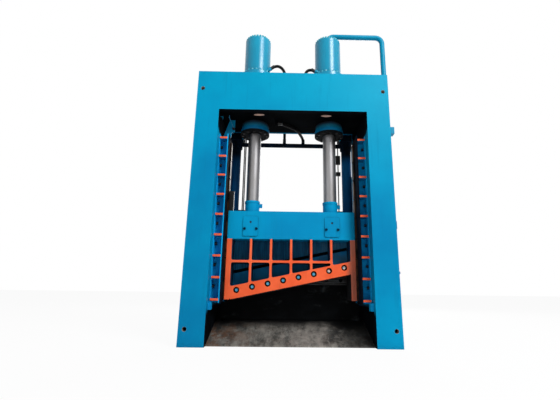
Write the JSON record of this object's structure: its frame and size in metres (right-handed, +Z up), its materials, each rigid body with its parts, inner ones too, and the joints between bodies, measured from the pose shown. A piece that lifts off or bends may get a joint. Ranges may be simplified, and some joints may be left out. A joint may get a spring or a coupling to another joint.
{
  "type": "scrap shear gantry head",
  "caption": "Gantry head of a hydraulic scrap shear: plate portal, vertical cylinders on its crown, guided slide with a raked blade, hold-down behind it and discharge chute below.",
  "frame": {"origin": "centre of the four anchor bolts at floor level, under the axes of the two shear cylinders", "axes": "+X to the right seen from the discharge side, +Y from the discharge side to the feed side, +Z up"},
  "size_m": [3.23, 1.27, 5.2845],
  "materials": {
    "frame_blue": "semi-gloss, worn",
    "dark_blue": "satin, worn",
    "safety_orange": "satin",
    "bare_steel": "scuffed",
    "dark_steel": "greasy",
    "chrome": "polished",
    "bronze": "dull",
    "hose_rubber": "matte"
  },
  "bodies": {
    "frame": {"front_portal_plate": "frame_blue", "rear_portal_plate": "frame_blue", "left_column": "frame_blue", "right_column": "frame_blue", "crown": "frame_blue", "foot_plates": "frame_blue", "lower_knife_beam": "dark_steel", "lower_blade": "bare_steel", "lower_blade_bolts": "dark_steel", "discharge_chute": "dark_steel", "hold_down_side_frames": "frame_blue", "feed_throat_plate": "frame_blue", "hold_down_rails": "bare_steel", "left_guide": "frame_blue", "right_guide": "frame_blue", "guide_ribs": "safety_orange", "guide_screws": "dark_steel", "guide_wear_strips": "bronze", "side_wear_strips": "bronze", "rear_guide_bars": "frame_blue", "left_cylinder_barrel": "frame_blue", "right_cylinder_barrel": "frame_blue", "cylinder_end_caps": "frame_blue", "end_cap_bolts": "frame_blue", "cylinder_flange_bolts": "frame_blue", "rod_glands": "frame_blue", "gland_bolts": "dark_steel", "rod_seals": "bronze", "oil_pipe": "frame_blue", "oil_pipe_clamps": "frame_blue", "left_feed_pipe": "frame_blue", "hold_down_brackets": "dark_blue", "hold_down_barrels": "dark_blue", "hold_down_flange_bolts": "dark_steel", "hold_down_glands": "dark_steel", "hold_down_cross_pipe": "dark_blue", "hold_down_hoses": "hose_rubber", "rod_side_hoses": "hose_rubber", "service_pipes": "dark_steel", "limit_switch_bracket": "frame_blue", "limit_switch": "dark_steel", "switch_cable": "hose_rubber"},
    "slide": {"slide_beam": "frame_blue", "slide_grid": "safety_orange", "slide_back_plate": "dark_blue", "slide_guide_wings": "dark_steel", "upper_blade": "bare_steel", "upper_blade_bolts": "frame_blue", "piston_rods": "chrome", "pistons": "bare_steel", "rod_sleeves": "frame_blue", "rod_pins": "bare_steel", "pin_retainers": "frame_blue", "striker": "dark_steel"},
    "hold_down": {"hold_down_beam": "dark_blue", "hold_down_shoe": "bare_steel", "hold_down_rods": "chrome", "hold_down_pistons": "bare_steel", "hold_down_pins": "bare_steel"}
  },
  "joints": [
    {"name": "slide_travel", "type": "slide", "parent": "frame", "child": "slide", "axis": [0, 0, 1], "range_m": [-0.1, 1.05]},
    {"name": "hold_down_travel", "type": "slide", "parent": "frame", "child": "hold_down", "axis": [0, 0, 1], "range_m": [-0.019, 0.6]}
  ]
}
